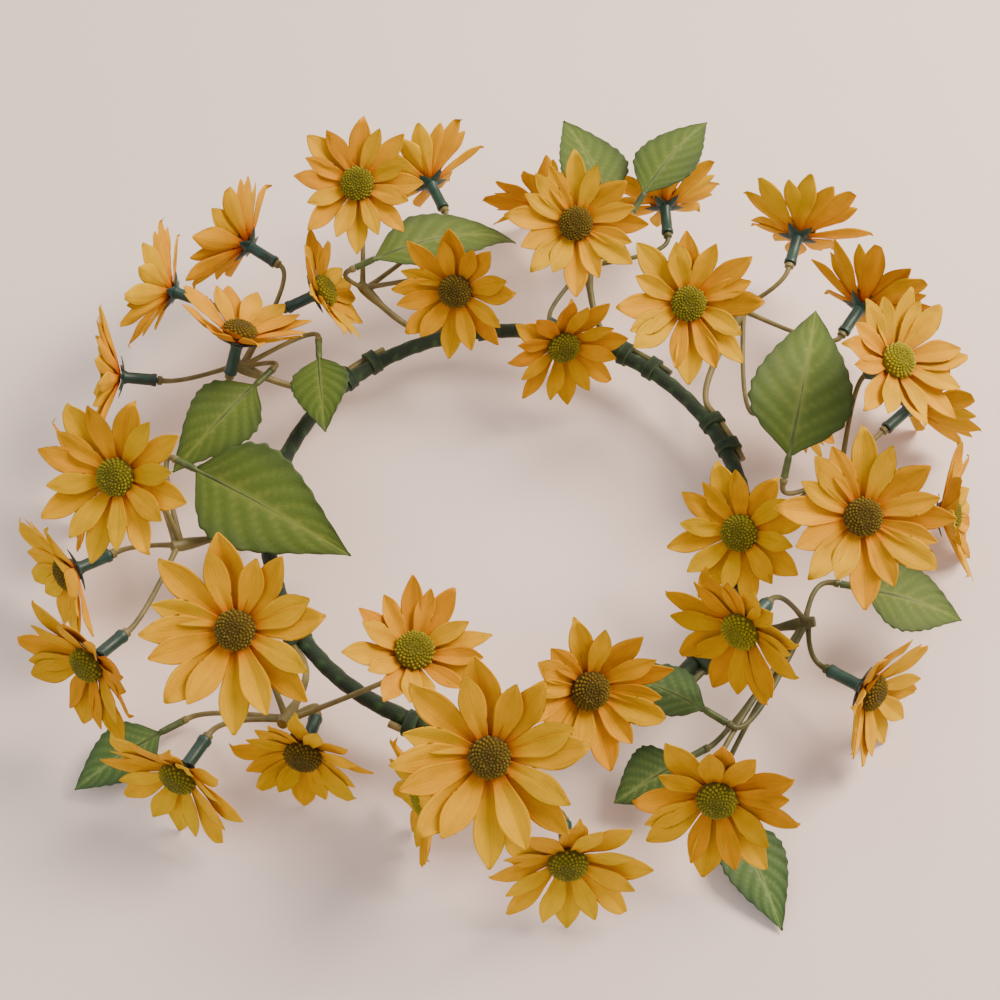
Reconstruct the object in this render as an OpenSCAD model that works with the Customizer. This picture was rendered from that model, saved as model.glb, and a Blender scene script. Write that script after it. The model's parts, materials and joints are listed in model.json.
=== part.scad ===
// Flower crown: a taped wire hoop with nine moulded sprays, thirty-six
// fabric flower heads that turn on pegs, and twelve fabric leaves.
// Z is up, the table is z = 0 and the hoop's axis is x = y = 0. Millimetres.

/* [Hoop] */
// Radius of the clear round opening inside the taped hoop
hoop_inner_r = 89; // [88:0.5:96]
// Height of the hoop's centreline above the table
hoop_height = 20; // [19:0.5:21]
// Radius of the steel wire
wire_r = 1.2; // [0.8:0.1:1.8]
// Radius of the taped hoop
tape_r = 3.0; // [2.4:0.1:3.2]
// Gap between the wire and the tape wound on it
tape_gap = 0.05; // [0.02:0.01:0.1]

/* [Flower head] */
// Scale on every petal length in the layout list
petal_scale = 1.0; // [0.85:0.01:1.01]
// Petals in each whorl
petal_count = 8; // [6:1:10]
// Width of a petal at its widest as a share of its length
petal_aspect = 0.37; // [0.3:0.01:0.38]
// Thickness of a fabric whorl
petal_t = 0.8; // [0.5:0.1:0.9]
// Inner whorl's length as a share of the outer whorl's
inner_share = 0.86; // [0.7:0.01:0.9]
// How much steeper the inner whorl stands, in degrees
inner_rise = 8; // [4:1:9]
// Radius of the flocked centre
centre_r = 7; // [5:0.5:8]
// Height of the flocked centre's dome
centre_h = 5; // [3:0.5:6]
// Radius of the tubular calyx
calyx_r = 2.6; // [2.2:0.1:3]
// Length of the tubular calyx
calyx_len = 13; // [10:0.5:13.5]
// Reach of the pointed sepals
sepal_r = 8; // [6:0.5:8.5]
// Gap between the stacked pieces of one head
stack_gap = 0.1; // [0.06:0.01:0.15]

/* [Pegs] */
// Radius of the peg a head turns on
peg_r = 1.2; // [0.9:0.1:1.5]
// Radial clearance between peg and calyx bore
peg_clear = 0.05; // [0.02:0.01:0.1]
// Length of peg inside the calyx
peg_len = 10; // [8:0.5:11]
// Gap between a peg's collar and the calyx mouth
collar_gap = 0.3; // [0.2:0.1:0.5]
// Radius of the collar below a peg
collar_r = 1.9; // [1.6:0.1:2.2]

/* [Sprays] */
// Radius of a branchlet
branch_r = 1.0; // [0.8:0.1:1.2]
// Radius of a spray's main stem
main_r = 1.4; // [1.2:0.1:1.5]
// Radius of a main stem past the bands, as a share of its radius under them
neck_share = 0.85; // [0.8:0.01:0.9]
// Half-width of the knot at a corner, as a share of its rod's radius
knot_share = 1.2; // [1.15:0.05:1.3]
// Step along the stem from one branchlet's start to the next
branch_step = 0.7; // [0.4:0.1:0.8]
// Half-width of the knuckle where a spray branches
hub_r = 2.6; // [2.2:0.1:3]
// Longest straight lead of a branchlet into its peg
peg_lead = 8; // [6:1:10]
// Length of main stem bound to the hoop, in degrees of hoop
run_angle = 16; // [12:1:18]
// Straight lead of a main stem off the hoop before it turns to its knuckle
stem_lead = 11; // [8:1:12]
// Gap between the main stem and the taped hoop beside it
run_gap = 0.1; // [0.05:0.05:0.2]

/* [Tie bands] */
// Thickness of a tie band around hoop and stem
band_t = 0.7; // [0.5:0.1:0.9]
// Length of a tie band, in degrees of hoop
band_angle = 2.5; // [2:0.5:4]
// Gap between a tie band and what it binds
band_gap = 0.05; // [0.02:0.01:0.1]

/* [Leaves] */
// Scale on every leaf length and width in the layout list
leaf_scale = 1.0; // [0.85:0.01:1.01]
// Thickness of a leaf blade
leaf_t = 0.8; // [0.5:0.1:0.9]
// Radius that a leaf blade arches to along its length
leaf_bend = 70; // [60:5:100]
// Radius of a leaf's midrib
rib_r = 0.8; // [0.6:0.1:0.9]
// Radius of the peg a leaf is pushed onto
leaf_peg_r = 0.8; // [0.6:0.1:0.9]
// Radial gap between leaf peg and leaf socket
leaf_peg_clear = 0.02; // [0.01:0.01:0.05]
// Radius of a leaf's socket
leaf_socket_r = 1.5; // [1.4:0.1:1.8]
// Length of a leaf's socket
leaf_socket_len = 9; // [8:0.5:10]

/* [Hidden] */
$fa = 6;
$fs = 0.5;
eps = 0.01;

hoop_r = hoop_inner_r + tape_r;
run_r = hoop_r + tape_r + run_gap + main_r;
bore_r = peg_r + peg_clear;
post_r = 1.6;
post_gap = 0.1;

// Sprays: [hoop angle, reach out from the hoop, height] of the knuckle
SPRAYS = [
    [-170, 32, 34],
    [-130, 28, 34],
    [ -88, 28, 26],
    [ -26, 28, 32],
    [   4, 34, 36],
    [  44, 44, 32],
    [  74, 30, 34],
    [ 120, 28, 34],
    [ 150, 32, 34]
];

// Heads: [spray, hoop angle, reach out from the hoop, height, heading,
//         lean from upright, petal length, cup angle]
// A height of 0 means the head rests on the table on a petal tip.
HEADS = [
    [1, -172,  44, 76, -110, 40, 31, 12],
    [1, -170,  70,  0, -145, 80, 30, 14],
    [1, -153,  68, 44, -125, 75, 30, 14],
    [1,  176,  68,  0, -160, 80, 29, 14],
    [2, -139,  26, 74,  -90, 35, 34, 10],
    [2, -136,  62,  0, -115, 80, 30, 14],
    [2, -126,  28,  0, -100, 75, 26, 12],
    [2, -113,  -8, 54,  -30, 15, 26, 24],
    [3, -102,  26,  0, -160, 85, 26, 16],
    [3,  -93,  28, 70,  -90, 38, 35, 10],
    [3,  -82,  46,  0,  -88, 70, 30, 12],
    [3,  -74,   1, 56,  -70, 50, 29, 14],
    [4,  -60,  46, 38, -100, 60, 30, 14],
    [4,  -41,  14, 62, -130, 75, 29, 12],
    [4,  -31,  54,  0,  -40, 75, 29, 16],
    [5,  -16,  -4, 48, -130, 45, 28, 12],
    [5,  -14,  34, 68,  -90, 33, 32, 10],
    [5,   -1,  72,  0,  -10, 70, 30, 14],
    [5,   14,  54, 70,  -40, 30, 30, 14],
    [5,   16,  74,  0,   40, 80, 30, 16],
    [6,   31,  74, 42,   55, 80, 30, 18],
    [6,   22,  28, 30,  -20, 50, 25, 14],
    [6,   45,   6, 64,  -90, 40, 31, 12],
    [6,   45,  78, 46,   72, 80, 30, 18],
    [7,   65,  68, 38,   92, 80, 28, 16],
    [7,   74, -14, 34,  -75, 75, 28, 12],
    [7,   76,  20, 66,  -90, 38, 29, 12],
    [7,   84,  66,  0,  110, 75, 28, 16],
    [8,  102,  64, 44,  115, 80, 30, 18],
    [8,  103,  -2, 52, -100, 60, 28, 12],
    [8,  116,  44, 74,  -90, 35, 28, 10],
    [9,  132,  68, 42,  148, 80, 30, 18],
    [9,  130,  30, 41,   10, 65, 27, 14],
    [9,  146,  70, 46,  165, 80, 30, 16],
    [9,  150,  30, 50,   60, 35, 30, 20],
    [9,  161,  68, 40, -175, 75, 30, 14]
];

// Leaves: [spray, hoop angle, reach out from the hoop, height of the base,
//          heading, rise, roll, length, width]
LEAVES = [
    [7,  72,  40, 62,  110,  25,  10, 42, 30],
    [7,  66,  44, 68,   55,  25, -10, 42, 28],
    [8, 117,  26, 50,   25,   8,  10, 62, 26],
    [9, 140,   6, 38,  -85,   5,  10, 32, 24],
    [9, 154,  18, 40, -125,   5, -20, 44, 28],
    [1, 178,  24, 46,  -32,   5,  20, 58, 42],
    [5,   6,  14, 46,   76,  35,   0, 58, 40],
    [4, -52,  18, 32,  150,  10,  15, 36, 24],
    [4, -58,  24, 14, -150,   5,   0, 28, 24],
    [4, -56,  50,  6,  -70,  10,   0, 38, 24],
    [2, -146,  60,  8, -145,  8,   0, 34, 24],
    [4, -16,  44, 30,  -15,   5,   0, 36, 30]
];

SPRAY_COUNT = len(SPRAYS);
function count_before(k) = len([for (i = [0:1:k]) if (HEADS[i][0] == HEADS[k][0]) i]);
function head_name(k) = str("head_", HEADS[k][0], "_", count_before(k));
function spray_name(s) = str("spray_", s + 1);
function leaf_name(k) = str("leaf_", k + 1);

// ---------- placing ----------
function unit(v) = v / norm(v);
function around(angle, r, z) = [r * cos(angle), r * sin(angle), z];
function heading_of(azimuth, polar) =
    [sin(polar) * cos(azimuth), sin(polar) * sin(azimuth), cos(polar)];

function head_r(k) = HEADS[k][6] * petal_scale;
function head_axis(k) = heading_of(HEADS[k][4], HEADS[k][5]);
// Underside of a whorl of cup angle c at radius r
function under(r, c) = stack_gap + (r - post_r) * tan(c);
function rest_height(k) =
    head_r(k) * sin(HEADS[k][5]) - under(head_r(k), HEADS[k][7]) * cos(HEADS[k][5]);
function head_height(k) = HEADS[k][3] == 0 ? rest_height(k) : HEADS[k][3];
function head_pos(k) = around(HEADS[k][1], hoop_r + HEADS[k][2], head_height(k));

function hub_pos(s) = around(SPRAYS[s][0], hoop_r + SPRAYS[s][1], SPRAYS[s][2]);
function leaf_pos(k) = around(LEAVES[k][1], hoop_r + LEAVES[k][2], LEAVES[k][3]);
function leaf_axis(k) = heading_of(LEAVES[k][4], 90 - LEAVES[k][5]);

// ---------- bent rods ----------
module rod(a, b, r) {
    d = b - a;
    translate(a)
        rotate([0, acos(d[2] / norm(d)), atan2(d[1], d[0])])
            cylinder(r = r, h = norm(d));
}

// A six-sided knot, r from its middle to its flats, lined up with a direction
module knot(at, along, r, h) {
    translate(at)
        rotate([0, acos(along[2]), atan2(along[1], along[0])])
            linear_extrude(height = h, center = true)
                polygon([for (i = [0:5]) r / cos(30) * [cos(60 * i), sin(60 * i)]]);
}

// A rod from a to b that turns at a knot at corner c
module bent_rod(a, c, b, r) {
    rod(a, c, r);
    knot(c, unit(c - a), knot_share * r, 2.4 * r);
    rod(c, b, r);
}

// ---------- hoop ----------
module hoop_wire() {
    color("#8c8f91")
        translate([0, 0, hoop_height])
            rotate_extrude()
                translate([hoop_r, 0])
                    circle(r = wire_r);
}

module tape_wrap() {
    color("#2f5a36")
        translate([0, 0, hoop_height])
            rotate_extrude()
                translate([hoop_r, 0])
                    difference() {
                        circle(r = tape_r);
                        circle(r = wire_r + tape_gap);
                    }
}

// One band around the taped hoop and the main stem beside it
module tie_band(angle) {
    half = (run_r + main_r - hoop_r + tape_r) / 2 + band_gap + band_t;
    middle = (run_r + main_r + hoop_r - tape_r) / 2;
    translate([0, 0, hoop_height])
        rotate([0, 0, angle])
            rotate_extrude(angle = band_angle)
                difference() {
                    translate([middle, 0])
                        circle(r = half);
                    translate([hoop_r, 0])
                        circle(r = tape_r + band_gap);
                    translate([run_r, 0])
                        circle(r = main_r + band_gap);
                    translate([hoop_r, -0.6 * main_r])
                        square([run_r - hoop_r, 1.2 * main_r]);
                }
}

function run_start(s) = SPRAYS[s][0] - run_angle - 12;

module tie_bands() {
    color("#2a5230")
        for (s = [0:SPRAY_COUNT - 1], share = [0.2, 0.7])
            tie_band(run_start(s) + share * run_angle);
}

// ---------- sprays ----------
// A branchlet with its collar and peg; mouth is how far the socket's
// mouth lies behind the point "to" along the peg
module branchlet(from, to, along, mouth, r_peg, l_peg, r_collar) {
    foot = to - (mouth + collar_gap + 1.5) * along;
    corner = foot - min(0.4 * norm(foot - from), peg_lead) * along;
    bent_rod(from, corner, foot, branch_r);
    translate(foot)
        rotate([0, acos(along[2]), atan2(along[1], along[0])]) {
            translate([0, 0, -0.8])
                cylinder(r = r_collar, h = 2.3);
            cylinder(r = r_peg, h = 1.5 + collar_gap + l_peg);
        }
}

// Where a main stem turns from the hoop to its knuckle
function stem_corner(s) =
    let (a = run_start(s) + run_angle)
    around(a, run_r, hoop_height) + stem_lead * [-sin(a), cos(a), 0];

// The main stem: along the hoop under the bands, then out to the knuckle
module main_stem(s) {
    translate([0, 0, hoop_height])
        rotate([0, 0, run_start(s)])
            rotate_extrude(angle = run_angle)
                translate([run_r, 0])
                    circle(r = main_r);
    bent_rod(around(run_start(s) + run_angle - 1, run_r, hoop_height), stem_corner(s),
             hub_pos(s), neck_share * main_r);
}

// Branchlets leave their knuckle one after another along the stem
function branch_start(s, k) =
    hub_pos(s) + branch_step * (k - 2) * unit(hub_pos(s) - stem_corner(s));

module spray(s) {
    color("#8a8a52") {
        main_stem(s);
        knot(hub_pos(s), unit(hub_pos(s) - stem_corner(s)), hub_r, 2 * hub_r);
        for (k = [0:len(HEADS) - 1])
            if (HEADS[k][0] == s + 1)
                branchlet(branch_start(s, count_before(k)), head_pos(k), head_axis(k),
                          calyx_len, peg_r, peg_len, collar_r);
        for (k = [0:len(LEAVES) - 1])
            if (LEAVES[k][0] == s + 1)
                branchlet(branch_start(s, 0.3 * (k % 5)), leaf_pos(k), leaf_axis(k),
                          leaf_socket_len, leaf_peg_r, leaf_socket_len - 2, collar_r - 0.4);
    }
}

// ---------- flower heads ----------
// Outline of a whorl: pointed petals joined near the middle
module whorl_outline(r, count) {
    pitch = 360 / count;
    half = petal_aspect * r / 2;
    valley = half / tan(pitch / 2) - 0.3;
    points = [for (i = [0:count - 1])
        for (q = [[valley, -pitch / 2], [0.6 * r, -atan(half / (0.6 * r))],
                  [0.87 * r, -atan(0.6 * half / (0.87 * r))], [r, 0],
                  [0.87 * r, atan(0.6 * half / (0.87 * r))],
                  [0.6 * r, atan(half / (0.6 * r))]])
            q[0] * [cos(i * pitch + q[1]), sin(i * pitch + q[1])]];
    polygon(points);
}

// A cupped fabric whorl with a hole for the post
module whorl(r, cup, lift, phase) {
    t = tan(cup);
    far = r + 1;
    intersection() {
        translate([0, 0, lift])
            rotate([0, 0, phase + 9])
                rotate_extrude()
                    polygon([
                        [post_r + post_gap, post_gap * t],
                        [far, (far - post_r) * t],
                        [far, (far - post_r) * t + petal_t],
                        [post_r + post_gap, post_gap * t + petal_t]
                    ]);
        rotate([0, 0, phase])
            linear_extrude(height = 40)
                whorl_outline(r, petal_count);
    }
}

// Tubular socket with pointed sepals and the post that holds the stack
module calyx(cup) {
    t = tan(cup);
    far = sepal_r + 1;
    difference() {
        union() {
            translate([0, 0, -calyx_len])
                cylinder(r = calyx_r, h = calyx_len - 1);
            intersection() {
                rotate_extrude()
                    polygon([
                        [0, -3],
                        [calyx_r - 0.3, -3],
                        [far, (far - post_r) * t - 0.7],
                        [far, (far - post_r) * t],
                        [post_r, 0],
                        [0, 0]
                    ]);
                translate([0, 0, -4])
                    linear_extrude(height = 30)
                        polygon([for (i = [0:9])
                            (i % 2 == 0 ? sepal_r : 0.5 * sepal_r)
                            * [cos(36 * i), sin(36 * i)]]);
            }
            translate([0, 0, -1])
                cylinder(r = post_r, h = 4.5);
        }
        translate([0, 0, -calyx_len - 1])
            cylinder(r = bore_r, h = 1 + peg_len + 0.5);
    }
}

// Flocked dome, hollowed to sit on the inner whorl and the post
module flocked_centre(cup) {
    t = tan(cup);
    seat = stack_gap * 2 + petal_t * 2 + stack_gap;
    rim = seat + (centre_r - post_r) * t;
    rotate_extrude()
        polygon(concat(
            [[0, 3.6], [post_r + post_gap / 2, 3.6], [post_r + post_gap / 2, seat + post_gap * t]],
            [for (i = [0:5])
                [centre_r * cos(15 * i), rim + centre_h * sin(15 * i)]],
            [[0, rim + centre_h * sin(75)]]
        ));
}

module head(k) {
    cup = HEADS[k][7];
    r = head_r(k);
    translate(head_pos(k))
        rotate([0, HEADS[k][5], HEADS[k][4]]) {
            color("#22453a")
                calyx(cup);
            color("#e6a10f") {
                whorl(r, cup, stack_gap, 0);
                whorl(inner_share * r, cup + inner_rise,
                      2 * stack_gap + petal_t, 180 / petal_count);
            }
            color("#8f8c22")
                flocked_centre(cup + inner_rise);
        }
}

// ---------- leaves ----------
module leaf(k) {
    l = LEAVES[k][7] * leaf_scale;
    w = LEAVES[k][8] * leaf_scale;
    sweep_angle = 0.8 * l / leaf_bend * 180 / PI;
    color("#6f8a34")
        translate(leaf_pos(k))
            rotate([LEAVES[k][6], -LEAVES[k][5], LEAVES[k][4]])
                difference() {
                    union() {
                        intersection() {
                            translate([0, 0, -leaf_bend])
                                rotate([90, 0, 0])
                                    difference() {
                                        cylinder(r = leaf_bend, h = 2 * w, center = true, $fa = 2);
                                        cylinder(r = leaf_bend - leaf_t, h = 3 * w, center = true, $fa = 2);
                                    }
                            translate([0, 0, -l])
                                linear_extrude(height = l + 1)
                                    polygon([
                                        [-1, -0.8], [0.12 * l, -0.3 * w], [0.32 * l, -0.5 * w],
                                        [0.55 * l, -0.42 * w], [0.8 * l, -0.2 * w], [l, 0],
                                        [0.8 * l, 0.2 * w], [0.55 * l, 0.42 * w],
                                        [0.32 * l, 0.5 * w], [0.12 * l, 0.3 * w], [-1, 0.8]
                                    ]);
                        }
                        translate([0, 0, -leaf_bend])
                            rotate([90, sweep_angle - 90, 0])
                                rotate_extrude(angle = sweep_angle)
                                    translate([leaf_bend - leaf_t, 0])
                                        circle(r = rib_r);
                        translate([-leaf_socket_len, 0, -0.4])
                            rotate([0, 90, 0])
                                cylinder(r = leaf_socket_r, h = leaf_socket_len + 1);
                    }
                    translate([-leaf_socket_len - 1, 0, 0])
                        rotate([0, 90, 0])
                            cylinder(r = leaf_peg_r + leaf_peg_clear, h = leaf_socket_len - 0.5);
                }
}

hoop_wire();
tape_wrap();
tie_bands();
for (s = [0:SPRAY_COUNT - 1])
    spray(s);
for (k = [0:len(HEADS) - 1])
    head(k);
for (k = [0:len(LEAVES) - 1])
    leaf(k);
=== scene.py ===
"""A flower crown: the petals, centres, calyxes, leaves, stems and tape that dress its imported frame."""

import json
import logging
import math
import random
from dataclasses import dataclass, field
from enum import Enum

import bmesh
import bpy
import numpy as np
from mathutils import Matrix, Vector


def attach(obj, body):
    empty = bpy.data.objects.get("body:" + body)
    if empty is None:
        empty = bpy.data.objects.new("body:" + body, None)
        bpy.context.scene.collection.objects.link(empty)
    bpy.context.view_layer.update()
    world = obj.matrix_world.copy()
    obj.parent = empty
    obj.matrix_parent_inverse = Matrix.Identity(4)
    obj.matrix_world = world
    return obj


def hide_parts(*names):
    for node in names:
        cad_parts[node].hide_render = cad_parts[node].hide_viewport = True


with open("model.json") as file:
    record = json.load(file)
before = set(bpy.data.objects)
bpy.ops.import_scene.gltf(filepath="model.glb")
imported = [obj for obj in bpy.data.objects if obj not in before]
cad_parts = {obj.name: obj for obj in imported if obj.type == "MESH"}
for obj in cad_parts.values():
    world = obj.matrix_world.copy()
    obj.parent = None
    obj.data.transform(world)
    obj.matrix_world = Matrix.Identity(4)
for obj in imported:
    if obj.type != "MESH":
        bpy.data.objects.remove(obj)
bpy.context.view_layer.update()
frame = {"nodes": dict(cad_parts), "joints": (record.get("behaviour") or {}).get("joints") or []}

LOG = logging.getLogger("crown")
MM = 0.001
ROOT = "crown"


class Ripeness(Enum):
    """How far the flocked centre of a flower has turned from green to brown."""

    GREEN = "green"
    OLIVE = "olive"
    BROWN = "brown"


class Whorl(Enum):
    """Which of a flower's two rings of petals."""

    OUTER = "outer"
    INNER = "inner"


# ---------- small helpers ----------


def linear(code: str) -> tuple[float, float, float, float]:
    """Turns an sRGB colour to linear.

    Args:
        code: the colour as #rrggbb.

    Returns:
        Linear red, green and blue, and an alpha of 1.
    """
    parts = [int(code[i : i + 2], 16) / 255 for i in (1, 3, 5)]
    light = [c / 12.92 if c <= 0.04045 else ((c + 0.055) / 1.055) ** 2.4 for c in parts]
    return (light[0], light[1], light[2], 1.0)


def add_node(
    material: bpy.types.Material,
    kind: str,
    inputs: dict | None = None,
    stops: list[tuple[float, str]] | None = None,
    **settings: object,
) -> bpy.types.Node:
    """Adds a node with its settings and links.

    Args:
        material: the material whose tree it joins.
        kind: the node's type name.
        inputs: for each input's name or number, a value or an output to link.
        stops: for a colour ramp, its positions and colours.
        settings: properties set on the node.

    Returns:
        The new node.
    """
    tree = material.node_tree
    node = tree.nodes.new(kind)
    for key, value in settings.items():
        setattr(node, key, value)
    for key, value in (inputs or {}).items():
        if isinstance(value, bpy.types.NodeSocket):
            tree.links.new(value, node.inputs[key])
        else:
            node.inputs[key].default_value = value
    for i, (place, code) in enumerate(stops or []):
        ramp = node.color_ramp.elements
        stop = ramp[i] if i < 2 else ramp.new(place)
        stop.position = place
        stop.color = linear(code)
    return node


def calm() -> None:
    """Leaves edit mode and deselects everything."""
    if bpy.context.object and bpy.context.object.mode != "OBJECT":
        bpy.ops.object.mode_set(mode="OBJECT")
    bpy.ops.object.select_all(action="DESELECT")


def hold(obj: bpy.types.Object) -> None:
    """Makes one object the only selected and active one."""
    calm()
    obj.select_set(True)
    bpy.context.view_layer.objects.active = obj


def pick(obj: bpy.types.Object, test: object, mode: str = "VERT") -> None:
    """Selects parts of a mesh in edit mode by their place.

    Args:
        obj: the object in edit mode.
        test: a function of a vertex's or a face middle's place that tells whether it is picked.
        mode: VERT or FACE.
    """
    bpy.ops.mesh.select_mode(type=mode)
    bpy.ops.mesh.select_all(action="DESELECT")
    mesh = bmesh.from_edit_mesh(obj.data)
    if mode == "VERT":
        for vert in mesh.verts:
            vert.select_set(bool(test(vert.co)))
    else:
        for face in mesh.faces:
            face.select_set(bool(test(face.calc_center_median())))
    mesh.select_flush(True) if mode == "VERT" else None
    bmesh.update_edit_mesh(obj.data)


def places(obj: bpy.types.Object) -> np.ndarray:
    """Reads a mesh's vertex places as an array of rows."""
    out = np.empty(len(obj.data.vertices) * 3)
    obj.data.vertices.foreach_get("co", out)
    return out.reshape(-1, 3)


def set_places(obj: bpy.types.Object, where: np.ndarray) -> None:
    """Writes a mesh's vertex places from an array of rows."""
    obj.data.vertices.foreach_set("co", np.asarray(where, float).reshape(-1))
    obj.data.update()


def twin(obj: bpy.types.Object, name: str) -> bpy.types.Object:
    """Copies an object with its own mesh.

    Args:
        obj: the object to copy.
        name: the copy's name.

    Returns:
        The copy.
    """
    copy = obj.copy()
    copy.data = obj.data.copy()
    copy.name = name
    copy.data.name = name
    bpy.context.collection.objects.link(copy)
    return copy


def joined(parts: list[bpy.types.Object], name: str) -> bpy.types.Object:
    """Joins several objects into one.

    Args:
        parts: the objects, of which the first is kept.
        name: the name of the result.

    Returns:
        The joined object.
    """
    hold(parts[0])
    for part in parts:
        part.select_set(True)
    if len(parts) > 1:
        bpy.ops.object.join()
    parts[0].name = name
    parts[0].data.name = name
    return parts[0]


def apply_all(obj: bpy.types.Object) -> None:
    """Applies every modifier of an object."""
    hold(obj)
    for modifier in list(obj.modifiers):
        bpy.ops.object.modifier_apply(modifier=modifier.name)


def smooth(obj: bpy.types.Object, degrees: float = 60) -> None:
    """Shades an object smooth, save for edges sharper than an angle."""
    hold(obj)
    bpy.ops.object.shade_smooth_by_angle(angle=math.radians(degrees))


def mark(obj: bpy.types.Object, name: str, values: np.ndarray | float) -> None:
    """Writes a number to each vertex under a name that a material can read."""
    layer = obj.data.attributes.get(name) or obj.data.attributes.new(name, "FLOAT", "POINT")
    out = np.broadcast_to(np.asarray(values, float), (len(obj.data.vertices),))
    layer.data.foreach_set("value", np.ascontiguousarray(out))


def cane(name: str, path: np.ndarray, radii: np.ndarray, turns: int = 4) -> bpy.types.Object:
    """Makes a rod of changing thickness along a path.

    Args:
        name: the object's name.
        path: places along its middle, in metres.
        radii: its radius at each of them, in millimetres.
        turns: the bevel resolution, which gives four sides more for each.

    Returns:
        The rod as a mesh object with closed ends.
    """
    curve = bpy.data.curves.new(name, "CURVE")
    curve.dimensions = "3D"
    curve.bevel_depth = MM
    curve.bevel_resolution = turns
    curve.use_fill_caps = True
    spline = curve.splines.new("POLY")
    spline.points.add(len(path) - 1)
    for point, where, radius in zip(spline.points, path, radii):
        point.co = (*where, 1)
        point.radius = float(radius)
    obj = bpy.data.objects.new(name, curve)
    bpy.context.collection.objects.link(obj)
    hold(obj)
    bpy.ops.object.convert(target="MESH")
    bpy.ops.object.mode_set(mode="EDIT")
    bpy.ops.mesh.select_all(action="SELECT")
    bpy.ops.mesh.remove_doubles(threshold=1e-6)
    bpy.ops.mesh.normals_make_consistent(inside=False)
    calm()
    return obj


def bezier(a: np.ndarray, b: np.ndarray, c: np.ndarray, d: np.ndarray, count: int) -> np.ndarray:
    """Points along a cubic curve.

    Args:
        a: its start.
        b: the first handle.
        c: the second handle.
        d: its end.
        count: how many points.

    Returns:
        The points as rows.
    """
    t = np.linspace(0, 1, count)[:, None]
    return (1 - t) ** 3 * a + 3 * (1 - t) ** 2 * t * b + 3 * (1 - t) * t * t * c + t**3 * d


# ---------- finishes ----------


@dataclass(frozen=True)
class Finish:
    """What every finish shares: a name and a shader with its constant values."""

    name: str

    def start(self, **values: object) -> tuple[bpy.types.Material, bpy.types.Node]:
        """Makes the material and sets its shader's constant inputs.

        Args:
            values: input names, with underscores for spaces, and their values.

        Returns:
            The material and its shader node.
        """
        material = bpy.data.materials.new(self.name)
        material.use_nodes = True
        shader = material.node_tree.nodes["Principled BSDF"]
        for key, value in values.items():
            shader.inputs[key.replace("_", " ")].default_value = value
        return material, shader


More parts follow.
